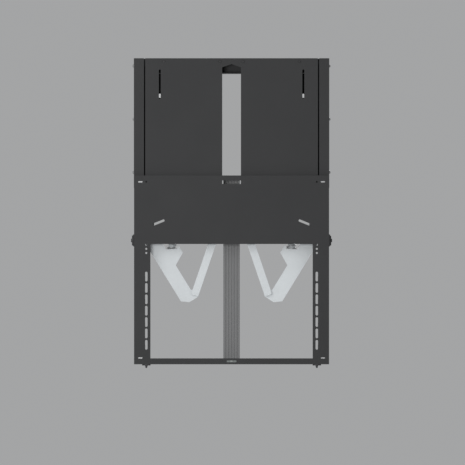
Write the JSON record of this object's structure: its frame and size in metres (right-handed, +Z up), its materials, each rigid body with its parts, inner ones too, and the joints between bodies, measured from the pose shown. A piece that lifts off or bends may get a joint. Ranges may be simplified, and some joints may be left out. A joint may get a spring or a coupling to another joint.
{
  "type": "height-adjustable screen wall mount",
  "caption": "Steel wall frame with a carriage for a large flat screen that slides up its side rails, carried by sprung rocker arms and links.",
  "frame": {"origin": "centre of the four wall bolts, on the wall plane", "axes": "+X to the right seen from the front, +Y into the wall, +Z up; the screen side faces -Y"},
  "size_m": [0.7084, 0.104, 1.0905],
  "materials": {
    "dark_coated_steel": "fine dark charcoal powder coat, satin",
    "pale_coated_steel": "smooth pale grey coat, satin",
    "zinc_steel": "bright zinc plate",
    "black_screw": "black coat, satin",
    "grey_aluminium": "satin anodised, ribbed along its length",
    "grey_plastic": "matte",
    "spring_steel": "oiled spring wire, satin",
    "glide_plastic": "slippery white plastic, matte",
    "rubber": "matte",
    "level_glass": "clear gloss",
    "black_plastic": "fine grain, matte"
  },
  "bodies": {
    "wall_frame": {"back_plate": "dark_coated_steel", "wall_cross_bar": "dark_coated_steel", "top_channel": "dark_coated_steel", "rail_left": "dark_coated_steel", "rail_right": "dark_coated_steel", "side_trim_left": "dark_coated_steel", "side_trim_right": "dark_coated_steel", "trim_screws_left": "zinc_steel", "trim_screws_right": "zinc_steel", "cover_panel": "dark_coated_steel", "cover_screws": "black_screw", "cover_post_left": "zinc_steel", "cover_post_right": "zinc_steel", "stop_bracket_left": "dark_coated_steel", "stop_bracket_right": "dark_coated_steel", "stop_pad_left": "rubber", "stop_pad_right": "rubber", "centre_column": "grey_aluminium", "column_end_cap": "grey_plastic", "pivot_strap_left": "zinc_steel", "pivot_strap_right": "zinc_steel", "strap_rivets_left": "zinc_steel", "strap_rivets_right": "zinc_steel", "pivot_pin_left": "zinc_steel", "pivot_pin_right": "zinc_steel", "balance_spring_left": "spring_steel", "balance_spring_right": "spring_steel", "anchor_block_left": "zinc_steel", "anchor_block_right": "zinc_steel", "anchor_pin_left": "zinc_steel", "anchor_pin_right": "zinc_steel", "spindle_left": "zinc_steel", "spindle_right": "zinc_steel"},
    "carriage": {"carrier_frame": "dark_coated_steel", "end_plates_left": "zinc_steel", "end_plates_right": "zinc_steel", "level_tube": "level_glass", "slide_plate_left": "dark_coated_steel", "slide_plate_right": "dark_coated_steel", "glides_left": "glide_plastic", "glides_right": "glide_plastic", "glide_screws_left": "zinc_steel", "glide_screws_right": "zinc_steel", "lock_lug_left": "dark_coated_steel", "lock_lug_right": "dark_coated_steel", "lift_bracket": "dark_coated_steel", "link_pin_left": "zinc_steel", "link_pin_right": "zinc_steel"},
    "rocker_left": {"rocker_arm_left": "pale_coated_steel", "ear_pin_left": "zinc_steel"},
    "link_left": {"lift_link_left": "pale_coated_steel", "knee_pin_left": "zinc_steel"},
    "lock_knob_left": {"lock_knob_left": "black_plastic"},
    "levelling_screw_left": {"levelling_screw_left": "black_plastic"},
    "rocker_right": {"rocker_arm_right": "pale_coated_steel", "ear_pin_right": "zinc_steel"},
    "link_right": {"lift_link_right": "pale_coated_steel", "knee_pin_right": "zinc_steel"},
    "lock_knob_right": {"lock_knob_right": "black_plastic"},
    "levelling_screw_right": {"levelling_screw_right": "black_plastic"}
  },
  "joints": [
    {"name": "lift", "type": "slide", "parent": "wall_frame", "child": "carriage", "axis": [0, 0, 1], "range_m": [0, 0.4], "deforming": ["balance_spring_left", "balance_spring_right"]},
    {"name": "rocker_left_swing", "type": "hinge", "parent": "wall_frame", "child": "rocker_left", "pos_m": [-0.285, -0.047, -0.0737], "axis": [0, -1, 0], "range_deg": [0, 97]},
    {"name": "link_left_swing", "type": "hinge", "parent": "carriage", "child": "link_left", "pos_m": [-0.018, -0.058, 0.0339], "axis": [0, -1, 0], "range_deg": [0, 6]},
    {"name": "rocker_right_swing", "type": "hinge", "parent": "wall_frame", "child": "rocker_right", "pos_m": [0.285, -0.047, -0.0737], "axis": [0, 1, 0], "range_deg": [0, 97]},
    {"name": "link_right_swing", "type": "hinge", "parent": "carriage", "child": "link_right", "pos_m": [0.018, -0.058, 0.0339], "axis": [0, 1, 0], "range_deg": [0, 6]},
    {"name": "lock_knob_left_turn", "type": "hinge", "parent": "carriage", "child": "lock_knob_left", "pos_m": [-0.3468, -0.063, -0.103], "axis": [-1, 0, 0], "range_deg": [0, 270]},
    {"name": "levelling_screw_left_turn", "type": "hinge", "parent": "carriage", "child": "levelling_screw_left", "pos_m": [-0.3, -0.0885, -0.5389], "axis": [0, 0, 1], "range_deg": [0, 360]},
    {"name": "lock_knob_right_turn", "type": "hinge", "parent": "carriage", "child": "lock_knob_right", "pos_m": [0.3468, -0.063, -0.103], "axis": [1, 0, 0], "range_deg": [0, 270]},
    {"name": "levelling_screw_right_turn", "type": "hinge", "parent": "carriage", "child": "levelling_screw_right", "pos_m": [0.3, -0.0885, -0.5389], "axis": [0, 0, 1], "range_deg": [0, 360]}
  ],
  "couplings": [
    {"joint": "rocker_left_swing", "follows": "lift", "rad_per_m": 4.1949},
    {"joint": "link_left_swing", "follows": "lift", "rad_per_m": 0.25244},
    {"joint": "rocker_right_swing", "follows": "lift", "rad_per_m": 4.1949},
    {"joint": "link_right_swing", "follows": "lift", "rad_per_m": 0.25244}
  ]
}
